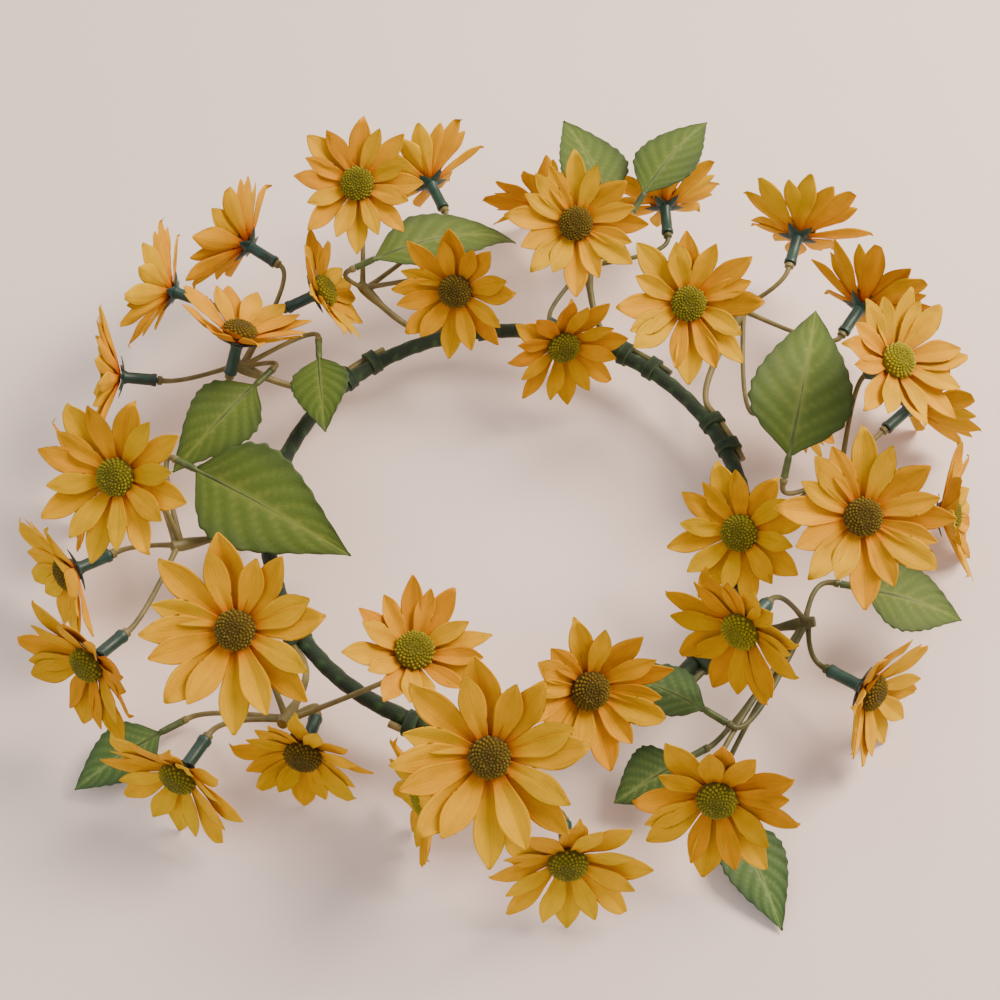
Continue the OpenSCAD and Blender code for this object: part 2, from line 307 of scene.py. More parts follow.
@dataclass(frozen=True)
class PetalCloth(Finish):
    """Die-cut woven polyester, dip-dyed from an orange heart to yellow and hot-pressed into pleats.

    The dye runs along the threads, so it gives fine streaks; the pressed cloth is dry and nearly matt.
    """

    heart: str = "#a83200"
    throat: str = "#d06400"
    body: str = "#dc9a00"
    tip: str = "#e4a800"
    streak_mm: float = 0.9
    thread_mm: float = 0.5

    def build(self) -> bpy.types.Material:
        """Builds the cloth's material."""
        material, shader = self.start(Roughness=0.7, Sheen_Weight=0.0, Specular_IOR_Level=0.12)
        link = material.node_tree.links.new
        uv = add_node(material, "ShaderNodeUVMap", uv_map="UVMap")
        split = add_node(material, "ShaderNodeSeparateXYZ", {0: uv.outputs[0]})
        streak_space = add_node(material, "ShaderNodeMapping", {"Vector": uv.outputs[0], "Scale": (1.6, 11 / self.streak_mm, 1)})
        streaks = add_node(material, "ShaderNodeTexNoise", {"Vector": streak_space.outputs[0], "Scale": 1.0, "Detail": 4.0, "Roughness": 0.6})
        push = add_node(material, "ShaderNodeMath", {0: streaks.outputs["Fac"], 1: 0.5}, operation="SUBTRACT")
        along = add_node(material, "ShaderNodeMath", {0: push.outputs[0], 1: 0.3, 2: split.outputs["X"]}, operation="MULTIPLY_ADD")
        dye = add_node(
            material,
            "ShaderNodeValToRGB",
            {"Fac": along.outputs[0]},
            stops=[(0.0, self.heart), (1.0, self.tip), (0.14, self.throat), (0.36, self.body)],
        )
        space = add_node(material, "ShaderNodeTexCoord")
        cloud = add_node(material, "ShaderNodeTexNoise", {"Vector": space.outputs["Object"], "Scale": 90.0, "Detail": 3.0})
        mood = add_node(material, "ShaderNodeAttribute", attribute_name="mood")
        shade = add_node(
            material,
            "ShaderNodeValToRGB",
            {"Fac": mood.outputs["Fac"]},
            stops=[(0.0, "#cc8400"), (1.0, "#d4bc00"), (0.3, "#e4a600"), (0.75, "#ecb800")],
        )
        toned = add_node(material, "ShaderNodeMix", {0: 0.35, 6: dye.outputs["Color"], 7: shade.outputs["Color"]}, data_type="RGBA", blend_type="MIX")
        keep = add_node(
            material,
            "ShaderNodeMapRange",
            {"Value": split.outputs["X"], "From Min": 0.12, "From Max": 0.45, "To Min": 0.0, "To Max": 1.0},
        )
        body = add_node(material, "ShaderNodeMix", {0: keep.outputs[0], 6: dye.outputs["Color"], 7: toned.outputs[2]}, data_type="RGBA")
        fade = add_node(
            material,
            "ShaderNodeMapRange",
            {"Value": cloud.outputs["Fac"], "From Min": 0.3, "From Max": 0.75, "To Min": 0.8, "To Max": 1.08},
        )
        rub = add_node(
            material,
            "ShaderNodeMapRange",
            {"Value": streaks.outputs["Fac"], "From Min": 0.3, "From Max": 0.7, "To Min": 0.86, "To Max": 1.06},
        )
        both = add_node(material, "ShaderNodeMath", {0: fade.outputs[0], 1: rub.outputs[0]}, operation="MULTIPLY")
        colour = add_node(material, "ShaderNodeVectorMath", {0: body.outputs[2], "Scale": both.outputs[0]}, operation="SCALE")
        link(colour.outputs[0], shader.inputs["Base Color"])
        # threads are drawn at half a millimetre, coarser than the real 0.2 mm, so that they show
        weave = add_node(material, "ShaderNodeTexNoise", {"Vector": space.outputs["Object"], "Scale": 1 / (self.thread_mm * MM), "Detail": 1.0})
        height = add_node(material, "ShaderNodeMath", {0: weave.outputs["Fac"], 1: 0.35, 2: streaks.outputs["Fac"]}, operation="MULTIPLY_ADD")
        bump = add_node(material, "ShaderNodeBump", {"Height": height.outputs[0], "Strength": 0.45, "Distance": 0.0006})
        link(bump.outputs[0], shader.inputs["Normal"])
        return material


@dataclass(frozen=True)
class Flock(Finish):
    """Short nylon fibres blown onto a glued dome, so it drinks the light and sparkles at the fibre tips."""

    dark: str = "#4a4808"
    light: str = "#928c10"
    fibre_mm: float = 0.6

    def build(self) -> bpy.types.Material:
        """Builds the flock's material."""
        material, shader = self.start(Roughness=0.95, Sheen_Weight=0.08, Sheen_Roughness=0.6, Specular_IOR_Level=0.2)
        link = material.node_tree.links.new
        space = add_node(material, "ShaderNodeTexCoord")
        fibre = add_node(material, "ShaderNodeTexNoise", {"Vector": space.outputs["Object"], "Scale": 1 / (self.fibre_mm * MM), "Detail": 3.0})
        # painted shade: the rise mark keeps the flocked ground between the florets dark and makes the florets paler,
        # more so towards the dome's edge
        rise = add_node(material, "ShaderNodeAttribute", attribute_name="rise")
        lit = add_node(material, "ShaderNodeMath", {0: fibre.outputs["Fac"], 1: 0.7, 2: rise.outputs["Fac"]}, operation="MULTIPLY_ADD")
        colour = add_node(material, "ShaderNodeValToRGB", {"Fac": lit.outputs[0]}, stops=[(0.3, self.dark), (1.0, self.light)])
        link(colour.outputs["Color"], shader.inputs["Base Color"])
        bump = add_node(material, "ShaderNodeBump", {"Height": fibre.outputs["Fac"], "Strength": 0.8, "Distance": 0.0005})
        link(bump.outputs[0], shader.inputs["Normal"])
        return material


@dataclass(frozen=True)
class Polyethylene(Finish):
    """Injection-moulded polyethylene: soft gloss, waxy, with faint flow marks that make it paler in places."""

    deep: str = "#10302b"
    worn: str = "#1f4d43"
    rough: float = 0.42
    mark_mm: float = 6.0

    def build(self) -> bpy.types.Material:
        """Builds the plastic's material."""
        material, shader = self.start(IOR=1.51, Roughness=self.rough)
        link = material.node_tree.links.new
        space = add_node(material, "ShaderNodeTexCoord")
        flow = add_node(material, "ShaderNodeTexNoise", {"Vector": space.outputs["Object"], "Scale": 1 / (self.mark_mm * MM), "Detail": 4.0, "Roughness": 0.6})
        colour = add_node(material, "ShaderNodeValToRGB", {"Fac": flow.outputs["Fac"]}, stops=[(0.32, self.deep), (0.68, self.worn)])
        link(colour.outputs["Color"], shader.inputs["Base Color"])
        grain = add_node(material, "ShaderNodeTexNoise", {"Vector": space.outputs["Object"], "Scale": 2200.0, "Detail": 2.0})
        bump = add_node(material, "ShaderNodeBump", {"Height": grain.outputs["Fac"], "Strength": 0.25, "Distance": 0.0002})
        link(bump.outputs[0], shader.inputs["Normal"])
        return material


@dataclass(frozen=True)
class LeafCloth(Finish):
    """Woven polyester printed green, with pale veins pressed into it by a hot mould."""

    margin: str = "#283f14"
    blade: str = "#496214"
    vein: str = "#748436"
    thread_mm: float = 0.5

    def build(self) -> bpy.types.Material:
        """Builds the leaf cloth's material."""
        material, shader = self.start(Roughness=0.6, Sheen_Weight=0.12, Specular_IOR_Level=0.35)
        link = material.node_tree.links.new
        space = add_node(material, "ShaderNodeTexCoord")
        cloud = add_node(material, "ShaderNodeTexNoise", {"Vector": space.outputs["Object"], "Scale": 70.0, "Detail": 4.0})
        edge = add_node(material, "ShaderNodeAttribute", attribute_name="edge")
        veins = add_node(material, "ShaderNodeAttribute", attribute_name="vein")
        spread = add_node(material, "ShaderNodeMath", {0: cloud.outputs["Fac"], 1: 0.5, 2: edge.outputs["Fac"]}, operation="MULTIPLY_ADD")
        ground = add_node(material, "ShaderNodeValToRGB", {"Fac": spread.outputs[0]}, stops=[(0.35, self.blade), (0.9, self.margin)])
        colour = add_node(material, "ShaderNodeMix", {0: veins.outputs["Fac"], 6: ground.outputs["Color"], 7: linear(self.vein)}, data_type="RGBA")
        link(colour.outputs[2], shader.inputs["Base Color"])
        weave = add_node(material, "ShaderNodeTexNoise", {"Vector": space.outputs["Object"], "Scale": 1 / (self.thread_mm * MM), "Detail": 2.0})
        bump = add_node(material, "ShaderNodeBump", {"Height": weave.outputs["Fac"], "Strength": 0.4, "Distance": 0.0004})
        link(bump.outputs[0], shader.inputs["Normal"])
        return material


@dataclass(frozen=True)
class CrepeTape(Finish):
    """Waxed crepe paper tape, stretched as it is wound, so its wrinkles run across it; its laps are painted paler on
    their raised edges, as painted highlight, and darker in the creases beside them, as painted shade.
    """

    deep: str = "#08180d"
    green: str = "#122c16"
    # the palest stop, painted on the raised lap edges as painted highlight
    lap: str = "#284a20"
    wrinkle_mm: float = 0.7

    def build(self) -> bpy.types.Material:
        """Builds the tape's material."""
        material, shader = self.start(Roughness=0.68, Specular_IOR_Level=0.4, Sheen_Weight=0.1)
        link = material.node_tree.links.new
        space = add_node(material, "ShaderNodeTexCoord")
        crepe = add_node(material, "ShaderNodeTexNoise", {"Vector": space.outputs["Object"], "Scale": 1 / (self.wrinkle_mm * MM), "Detail": 4.0, "Roughness": 0.65})
        # the lap mark carries painted highlight on the raised lap edges and painted shade in the creases beside them
        lap = add_node(material, "ShaderNodeAttribute", attribute_name="lap")
        mixed = add_node(material, "ShaderNodeMath", {0: crepe.outputs["Fac"], 1: 0.55, 2: lap.outputs["Fac"]}, operation="MULTIPLY_ADD")
        colour = add_node(
            material,
            "ShaderNodeValToRGB",
            {"Fac": mixed.outputs[0]},
            stops=[(0.15, self.deep), (1.0, self.lap), (0.6, self.green)],
        )
        link(colour.outputs["Color"], shader.inputs["Base Color"])
        bump = add_node(material, "ShaderNodeBump", {"Height": crepe.outputs["Fac"], "Strength": 0.7, "Distance": 0.0005})
        link(bump.outputs[0], shader.inputs["Normal"])
        return material


@dataclass(frozen=True)
class Paper(Finish):
    """Matte seamless backdrop paper."""

    tone: str = "#efe0da"

    def build(self) -> bpy.types.Material:
        """Builds the paper's material."""
        material, shader = self.start(Roughness=0.9, Specular_IOR_Level=0.2)
        link = material.node_tree.links.new
        space = add_node(material, "ShaderNodeTexCoord")
        cloud = add_node(material, "ShaderNodeTexNoise", {"Vector": space.outputs["Object"], "Scale": 6.0, "Detail": 3.0})
        even = add_node(material, "ShaderNodeMapRange", {"Value": cloud.outputs["Fac"], "To Min": 0.97, "To Max": 1.02})
        colour = add_node(material, "ShaderNodeVectorMath", {0: linear(self.tone)[:3], "Scale": even.outputs[0]}, operation="SCALE")
        link(colour.outputs[0], shader.inputs["Base Color"])
        return material


# ---------- the set ----------


@dataclass
class Studio:
    """The pale table, the soft light and the camera."""

    target: tuple[float, float, float] = (-3, 20.5, 0)
    distance: float = 606
    elevation: float = 57.1
    lens: float = 54

    def build(self) -> None:
        """Sets up the camera, the lights and the table."""
        aim = Vector(self.target) * MM
        tilt = math.radians(self.elevation)
        away = Vector((0, -math.cos(tilt), math.sin(tilt)))
        data = bpy.data.cameras.new("camera")
        data.lens = self.lens
        data.clip_start = 0.01
        camera = bpy.data.objects.new("camera", data)
        camera.location = aim + away * self.distance * MM
        camera.rotation_euler = (-away).to_track_quat("-Z", "Y").to_euler()
        bpy.context.collection.objects.link(camera)
        bpy.context.scene.camera = camera
        self.lamp("key", (0.75, 0.30, 0.95), 0.6, 25.0, "#ffe8d2")
        self.lamp("fill", (-0.9, -0.7, 0.9), 1.4, 6.0, "#eceffb")
        self.lamp("back", (-0.3, 1.2, 0.9), 1.2, 8.0, "#fff0e2")
        world = bpy.data.worlds.new("room")
        world.use_nodes = True
        world.node_tree.nodes["Background"].inputs["Color"].default_value = linear("#efe7e4")
        world.node_tree.nodes["Background"].inputs["Strength"].default_value = 0.72
        bpy.context.scene.world = world
        calm()
        bpy.ops.mesh.primitive_plane_add(size=24, location=(0, 0, 0))
        table = bpy.context.object
        table.name = "table"
        table.data.materials.append(Paper("seamless paper").build())

    def lamp(self, name: str, place: tuple[float, float, float], size: float, power: float, tone: str) -> None:
        """Hangs a square soft box that looks at the crown.

        Args:
            name: the light's name.
            place: where it hangs, in metres.
            size: the side of the square, in metres.
            power: its power in watts.
            tone: its colour.
        """
        data = bpy.data.lights.new(name, "AREA")
        data.size = size
        data.energy = power
        data.color = linear(tone)[:3]
        light = bpy.data.objects.new(name, data)
        light.location = place
        light.rotation_euler = (-Vector(place)).to_track_quat("-Z", "Y").to_euler()
        bpy.context.collection.objects.link(light)


# ---------- flower heads ----------


@dataclass
class PetalPress:
    """Shapes one petal, then rings of petals, on a unit length from the flower's axis to a petal's tip."""

    seed: int = 7
    rows: int = 12
    columns: int = 6
    count: int = 8
    start: float = 0.07
    widths: tuple[tuple[float, float], ...] = (
        (0.0, 0.04), (0.2, 0.066), (0.38, 0.112), (0.53, 0.152), (0.65, 0.163), (0.77, 0.142), (0.87, 0.096), (0.95, 0.042), (1.0, 0.004),
    )
    pleats: tuple[float, ...] = (0.022, 0.008, 0.010, -0.010, 0.010, 0.008, 0.022)
    rng: random.Random = field(init=False)

    def __post_init__(self) -> None:
        """Seeds the small differences between petals."""
        self.rng = random.Random(self.seed)

    def petal(self) -> bpy.types.Object:
        """Models one flat petal with its pleats, row by row and column by column."""
        calm()
        bpy.ops.mesh.primitive_grid_add(x_subdivisions=self.rows, y_subdivisions=self.columns, size=1, location=(0, 0, 0))
        obj = bpy.context.object
        obj.name = "petal"
        bpy.ops.object.mode_set(mode="EDIT")
        xs = [i / self.rows for i in range(self.rows + 1)]
        for column, lift in enumerate(self.pleats):
            y = column / self.columns - 0.5
            pick(obj, lambda co, y=y: abs(co.y - y) < 0.01)
            bpy.ops.transform.translate(value=(0, 0, lift))
        for x in xs:
            half = float(np.interp(x, [w[0] for w in self.widths], [w[1] for w in self.widths]))
            pick(obj, lambda co, x=x: abs(co.x + 0.5 - x) < 0.01)
            flat = 0.35 + 0.65 * min(1.0, 4 * x * (1.02 - x) + 0.1)
            bpy.ops.transform.resize(value=(1, 2 * half, flat), center_override=(x - 0.5, 0, 0))
        pick(obj, lambda co: True)
        bpy.ops.transform.translate(value=(0.5, 0, 0))
        bpy.ops.transform.resize(value=(1 - self.start, 1, 1), center_override=(1, 0, 0))
        calm()
        return obj

    def ring(self, whorl: Whorl, number: int) -> bpy.types.Object:
        """Presses a ring of petals that differ a little from each other.

        Args:
            whorl: the outer or the inner ring.
            number: which of the rings this is, for its name.

        Returns:
            The ring, one unit in radius, facing up.
        """
        rng = self.rng
        model = self.petal()
        parts = []
        for i in range(self.count):
            part = twin(model, f"petal_{i}")
            co = places(part)
            x, y, z = co.T
            curl = 0.0 if i == 0 else max(0.0, rng.uniform(-0.3, 1.0))
            if whorl is Whorl.OUTER:
                length = 1.0 - (0.12 * curl + (0 if i == 0 else rng.uniform(0, 0.04)))
                lean = 0.0 if i == 0 else rng.uniform(0.0, 0.10)
            else:
                length = 1.0 - (0.10 * curl + rng.uniform(0, 0.08))
                lean = rng.uniform(-0.11, 0.02)
            far = np.clip((x - 0.25) / 0.75, 0, 1)
            y = y * rng.uniform(0.86, 1.08)
            z = z + rng.uniform(0.1, 1.2) * y * y * 2 + lean * x + 0.16 * curl * far**2.2
            wave = rng.uniform(0.0, 0.018)
            z = z + wave * np.sin(x * 11 + rng.uniform(0, 6)) * np.clip(np.abs(y) * 9, 0, 1)
            turn = rng.uniform(-0.55, 0.55) * (0.4 if i == 0 else 1.0) * far
            y, z = y * np.cos(turn) - z * np.sin(turn) * 0.3, z + y * np.sin(turn)
            y = y + rng.uniform(-0.09, 0.09) * (0 if i == 0 else 1) * far**1.5
            x = x * length
            around = math.tau * i / self.count + (0 if i == 0 else math.radians(rng.uniform(-6, 6)))
            c, s = math.cos(around), math.sin(around)
            set_places(part, np.stack([x * c - y * s, x * s + y * c, z + 0.004 * (i % 2)], 1))
            mark(part, "mood", rng.uniform(0, 1) if rng.random() > 0.15 else 1.0)
            parts.append(part)
        bpy.data.objects.remove(model)
        ring = joined(parts, f"{whorl.value}_ring_{number}")
        sub = ring.modifiers.new("round", "SUBSURF")
        sub.levels = sub.render_levels = 1
        wall = ring.modifiers.new("wall", "SOLIDIFY")
        wall.thickness = 0.011
        wall.offset = -1
        apply_all(ring)
        hold(ring)
        bpy.ops.object.shade_smooth()
        return ring


@dataclass
class CentrePress:
    """Models the flocked dome of a flower, seven millimetres in radius, with its ring of florets."""

    radius: float = 6.7
    height: float = 4.5
    florets: int = 130

    def build(self) -> bpy.types.Object:
        """Models the dome with its florets, its rim at height zero."""
        calm()
        bpy.ops.mesh.primitive_uv_sphere_add(segments=28, ring_count=16, radius=1)
        dome = bpy.context.object
        bpy.ops.object.mode_set(mode="EDIT")
        bpy.ops.mesh.select_all(action="SELECT")
        bpy.ops.mesh.bisect(plane_co=(0, 0, -0.2), plane_no=(0, 0, 1), clear_inner=True, use_fill=True)
        bpy.ops.mesh.select_all(action="SELECT")
        bpy.ops.transform.resize(value=(self.radius, self.radius, self.height), center_override=(0, 0, 0))
        pick(dome, lambda co: math.hypot(co.x, co.y) < 2.2 and co.z > 0)
        bpy.ops.transform.translate(value=(0, 0, -0.5), use_proportional_edit=True, proportional_size=2.0, proportional_edit_falloff="SMOOTH")
        calm()
        co = places(dome)
        # painted shade: the dome's ground between the florets, and its underside, get the darkest values
        mark(dome, "rise", np.where(co[:, 2] > 0, 0.05, 0.0))
        bpy.ops.mesh.primitive_ico_sphere_add(subdivisions=1, radius=0.62)
        bud = bpy.context.object
        base = places(bud) * (0.8, 0.8, 1.2)
        rng = random.Random(11)
        parts = [dome]
        golden = math.pi * (3 - math.sqrt(5))
        for i in range(self.florets):
            share = (i + 0.5) / self.florets
            r = math.sqrt(share) * 0.985
            spin = i * golden
            up = math.sqrt(1 - r * r)
            out = Vector((r * math.cos(spin) / self.radius, r * math.sin(spin) / self.radius, up / self.height)).normalized()
            spot = Vector((r * math.cos(spin) * self.radius, r * math.sin(spin) * self.radius, up * self.height))
            if share < 0.12:
                spot.z -= 0.45
            size = (0.75 + 0.5 * share) * rng.uniform(0.85, 1.15)
            part = twin(bud, "floret")
            turn = np.array(out.to_track_quat("Z", "Y").to_matrix())
            set_places(part, (base * size) @ turn.T + np.array(spot - out * 0.12))
            # each floret is painted paler than the ground around it, which leaves painted shade between them, and paler
            # still towards the dome's edge
            mark(part, "rise", 0.25 + 0.35 * share + rng.uniform(-0.1, 0.15))
            parts.append(part)
        bpy.data.objects.remove(bud)
        whole = joined(parts, "centre_pattern")
        hold(whole)
        bpy.ops.object.shade_smooth()
        return whole


@dataclass
class CalyxPress:
    """Models a calyx: a tubular socket with a rolled mouth and five pointed sepals."""

    radius: float = 2.6
    length: float = 13.0
    sepal: float = 8.6

    def build(self) -> bpy.types.Object:
        """Models the calyx with its sepals lying flat at height zero."""
        calm()
        bpy.ops.mesh.primitive_cylinder_add(vertices=24, radius=self.radius, depth=self.length - 2, end_fill_type="NGON", location=(0, 0, 0))
        tube = bpy.context.object
        half = (self.length - 2) / 2
        bpy.ops.object.mode_set(mode="EDIT")
        pick(tube, lambda co: co.z < -half + 0.01, "FACE")
        bpy.ops.mesh.inset(thickness=0.9)
        bpy.ops.mesh.extrude_region_move(TRANSFORM_OT_translate={"value": (0, 0, 4)})
        pick(tube, lambda co: co.z > half - 0.01, "FACE")
        bpy.ops.mesh.extrude_region_move(TRANSFORM_OT_translate={"value": (0, 0, 1.2)})
        bpy.ops.transform.resize(value=(1.12, 1.12, 1), center_override=(0, 0, half + 1.2))
        bpy.ops.mesh.select_mode(type="VERT")
        bpy.ops.mesh.select_all(action="SELECT")
        bpy.ops.mesh.bisect(plane_co=(0, 0, -half + 1.4), plane_no=(0, 0, 1))
        bpy.ops.mesh.select_all(action="SELECT")
        bpy.ops.mesh.bisect(plane_co=(0, 0, -half + 2.0), plane_no=(0, 0, 1))
        pick(tube, lambda co: -half + 1.6 < co.z < -half + 2.4 and math.hypot(co.x, co.y) > 2)
        bpy.ops.transform.resize(value=(0.9, 0.9, 1), center_override=(0, 0, 0))
        pick(tube, lambda co: co.z > half - 0.5 and co.z < half + 0.4)
        bpy.ops.transform.resize(value=(0.88, 0.88, 1), center_override=(0, 0, 0))
        pick(tube, lambda co: True)
        bpy.ops.transform.translate(value=(0, 0, -self.length + half))
        calm()
        parts = [tube]
        for i in range(5):
            calm()
            bpy.ops.mesh.primitive_grid_add(x_subdivisions=6, y_subdivisions=4, size=1)
            blade = bpy.context.object
            co = places(blade)
            along = co[:, 0] + 0.5
            half_wide = np.interp(along, [0, 0.3, 0.6, 0.85, 1], [2.1, 2.3, 1.6, 0.7, 0.05])
            x = 0.6 + (self.sepal - 0.6) * along
            y = co[:, 1] * 2 * half_wide
            z = -0.45 + 0.16 * np.abs(y) - 0.25 * np.sin(along * math.pi)
            z = np.minimum(z, -0.1)
            turn = math.tau * i / 5
            set_places(blade, np.stack([x * math.cos(turn) - y * math.sin(turn), x * math.sin(turn) + y * math.cos(turn), z], 1))
            wall = blade.modifiers.new("wall", "SOLIDIFY")
            wall.thickness = 0.35
            wall.offset = -1
            apply_all(blade)
            parts.append(blade)
        whole = joined(parts, "calyx_pattern")
        bevel = whole.modifiers.new("edge", "BEVEL")
        bevel.width = 0.12
        bevel.segments = 2
        bevel.limit_method = "ANGLE"
        bevel.angle_limit = math.radians(50)
        apply_all(whole)
        smooth(whole, 50)
        return whole


@dataclass
class FlowerHeads:
    """Every flower head of the crown, set on its peg's axis as the frame gives it."""

    rings: int = 5
    gap: float = 0.1
    post: float = 1.6
    inner_share: float = 0.86
    inner_rise: float = 8
    centre: float = 7.0
    centre_height: float = 5.0
    patterns: dict = field(default_factory=dict)

    def build(self) -> None:
        """Models the patterns once and sets a flower on every joint."""
        press = PetalPress()
        for whorl in Whorl:
            self.patterns[whorl] = [press.ring(whorl, n) for n in range(self.rings)]
        self.patterns["centre"] = CentrePress().build()
        self.patterns["calyx"] = CalyxPress().build()
        cloths = [
            PetalCloth("dip-dyed polyester cloth, golden").build(),
            PetalCloth("dip-dyed polyester cloth, amber", body="#d68e00", tip="#de9c00", heart="#9e2c00").build(),
            PetalCloth("dip-dyed polyester cloth, bright", body="#e4a600", tip="#ecb600", throat="#d87c00").build(),
        ]
        flocks = {
            Ripeness.GREEN: Flock("nylon flock, yellow green", dark="#625f08", light="#aca414").build(),
            Ripeness.OLIVE: Flock("nylon flock, olive").build(),
            Ripeness.BROWN: Flock("nylon flock, brown", dark="#3c2e08", light="#7c6a0c").build(),
        }
        calyx = Polyethylene("moulded polyethylene, dark green").build()
        order = [Ripeness.OLIVE, Ripeness.BROWN, Ripeness.OLIVE, Ripeness.GREEN, Ripeness.BROWN]
        for number, joint in enumerate(frame["joints"]):
            node = joint["child"].replace("_body", "")
            self.flower(joint, node, number, cloths[(number * 2 + number // 3) % 3], flocks[order[number % 5]], calyx)
        for pattern in [*self.patterns[Whorl.OUTER], *self.patterns[Whorl.INNER], self.patterns["centre"], self.patterns["calyx"]]:
            bpy.data.objects.remove(pattern)

    def measure(self, node: str, inverse: np.ndarray) -> tuple[float, float]:
        """Reads a head's petal length and cup angle off its frame node.

        Args:
            node: the node's name.
            inverse: the matrix from the world to the head's own axes.

        Returns:
            The petal length in millimetres and the slope of the outer petals.
        """
        co = places(frame["nodes"][node])
        local = (np.c_[co, np.ones(len(co))] @ inverse.T)[:, :3] / MM
        r = np.hypot(local[:, 0], local[:, 1])
        length = float(r.max())
        low = float(local[r > length - 0.05, 2].min())
        return length, (low - self.gap) / (length - self.post)

    def top(self, r: np.ndarray, length: float, slope: float) -> np.ndarray:
        """The height that a head may reach as it turns, at distances from its axis."""
        steep = math.tan(math.atan(slope) + math.radians(self.inner_rise))
        rim = 1.9 + (self.centre - self.post) * steep
        inner = self.inner_share * length
        shoulder = max(1.8 + (inner - self.post) * steep, 0.9 + (inner - self.post) * slope)
        return np.interp(
            r,
            [0, 3.5, 6, 7.05, inner, length],
            [rim + 5, rim + 4.4, rim + 2.6, rim + 0.6, shoulder, self.gap + (length - self.post) * slope + 0.8],
        )

    def flower(
        self, joint: dict, node: str, number: int, cloth: bpy.types.Material, flock: bpy.types.Material, calyx: bpy.types.Material
    ) -> None:
        """Sets one flower on its joint.

        Args:
            joint: the joint it turns on.
            node: the frame node it stands for.
            number: its place in the list of joints.
            cloth: its petals' material.
            flock: its centre's material.
            calyx: its calyx's material.
        """
        axis = Vector(joint["axis"]).normalized()
        lean = math.acos(axis.z)
        heading = math.atan2(axis.y, axis.x)
        place = Matrix.Translation(Vector(joint["pos_m"])) @ Matrix.Rotation(heading, 4, "Z") @ Matrix.Rotation(lean, 4, "Y")
        world = np.array(place)
        length, slope = self.measure(node, np.linalg.inv(world))
        steep = math.tan(math.atan(slope) + math.radians(self.inner_rise))
        body = joint["child"]

        def finish(obj: bpy.types.Object, local: np.ndarray, material: bpy.types.Material) -> None:
            """Places a piece, dresses it and ties it to its body."""
            set_places(obj, (np.c_[local * MM, np.ones(len(local))] @ world.T)[:, :3])
            obj.data.materials.clear()
            obj.data.materials.append(material)
            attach(obj, body)
            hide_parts(node)

        for whorl in Whorl:
            ring = twin(self.patterns[whorl][(number * 3 + (2 if whorl is Whorl.INNER else 0)) % self.rings], f"{node}_{whorl.value}_petals")
            co = places(ring)
            share, rise, lift = (1.0, slope, 0.95) if whorl is Whorl.OUTER else (self.inner_share, steep, 1.85)
            size = share * length
            x, y = co[:, 0] * size, co[:, 1] * size
            if whorl is Whorl.INNER:
                c, s = math.cos(math.pi / 8), math.sin(math.pi / 8)
                x, y = x * c - y * s, x * s + y * c
            r = np.hypot(x, y)
            z = co[:, 2] * size + lift + (r - self.post) * rise
            squeeze = np.minimum(1, 0.999 * length / np.maximum(r, 1e-6))
            x, y, r = x * squeeze, y * squeeze, r * squeeze
            low = self.gap + (r - self.post) * slope + 0.03 + (0.3 if whorl is Whorl.INNER else 0)
            z = np.clip(z, low, np.maximum(self.top(r, length, slope), low + 0.02))
            finish(ring, np.stack([x, y, z], 1), cloth)
        dome = twin(self.patterns["centre"], f"{node}_centre")
        co = places(dome)
        finish(dome, co + (0, 0, 1.9 + (self.centre - self.post) * steep), flock)
        cup = twin(self.patterns["calyx"], f"{node}_calyx")
        co = places(cup)
        r = np.hypot(co[:, 0], co[:, 1])
        co[:, 2] += np.where(co[:, 2] > -1.6, np.maximum(0, r - self.post) * slope, 0)
        finish(cup, co, calyx)
        LOG.info("flower %s: petals %.1f mm, cup %.1f degrees", node, length, math.degrees(math.atan(slope)))


# ---------- leaves ----------


@dataclass(frozen=True)
class LeafPlace:
    """Where a leaf sits: the same layout that the frame's leaf nodes follow."""

    spray: int
    angle: float
    reach: float
    height: float
    heading: float
    rise: float
    roll: float
    length: float
    width: float


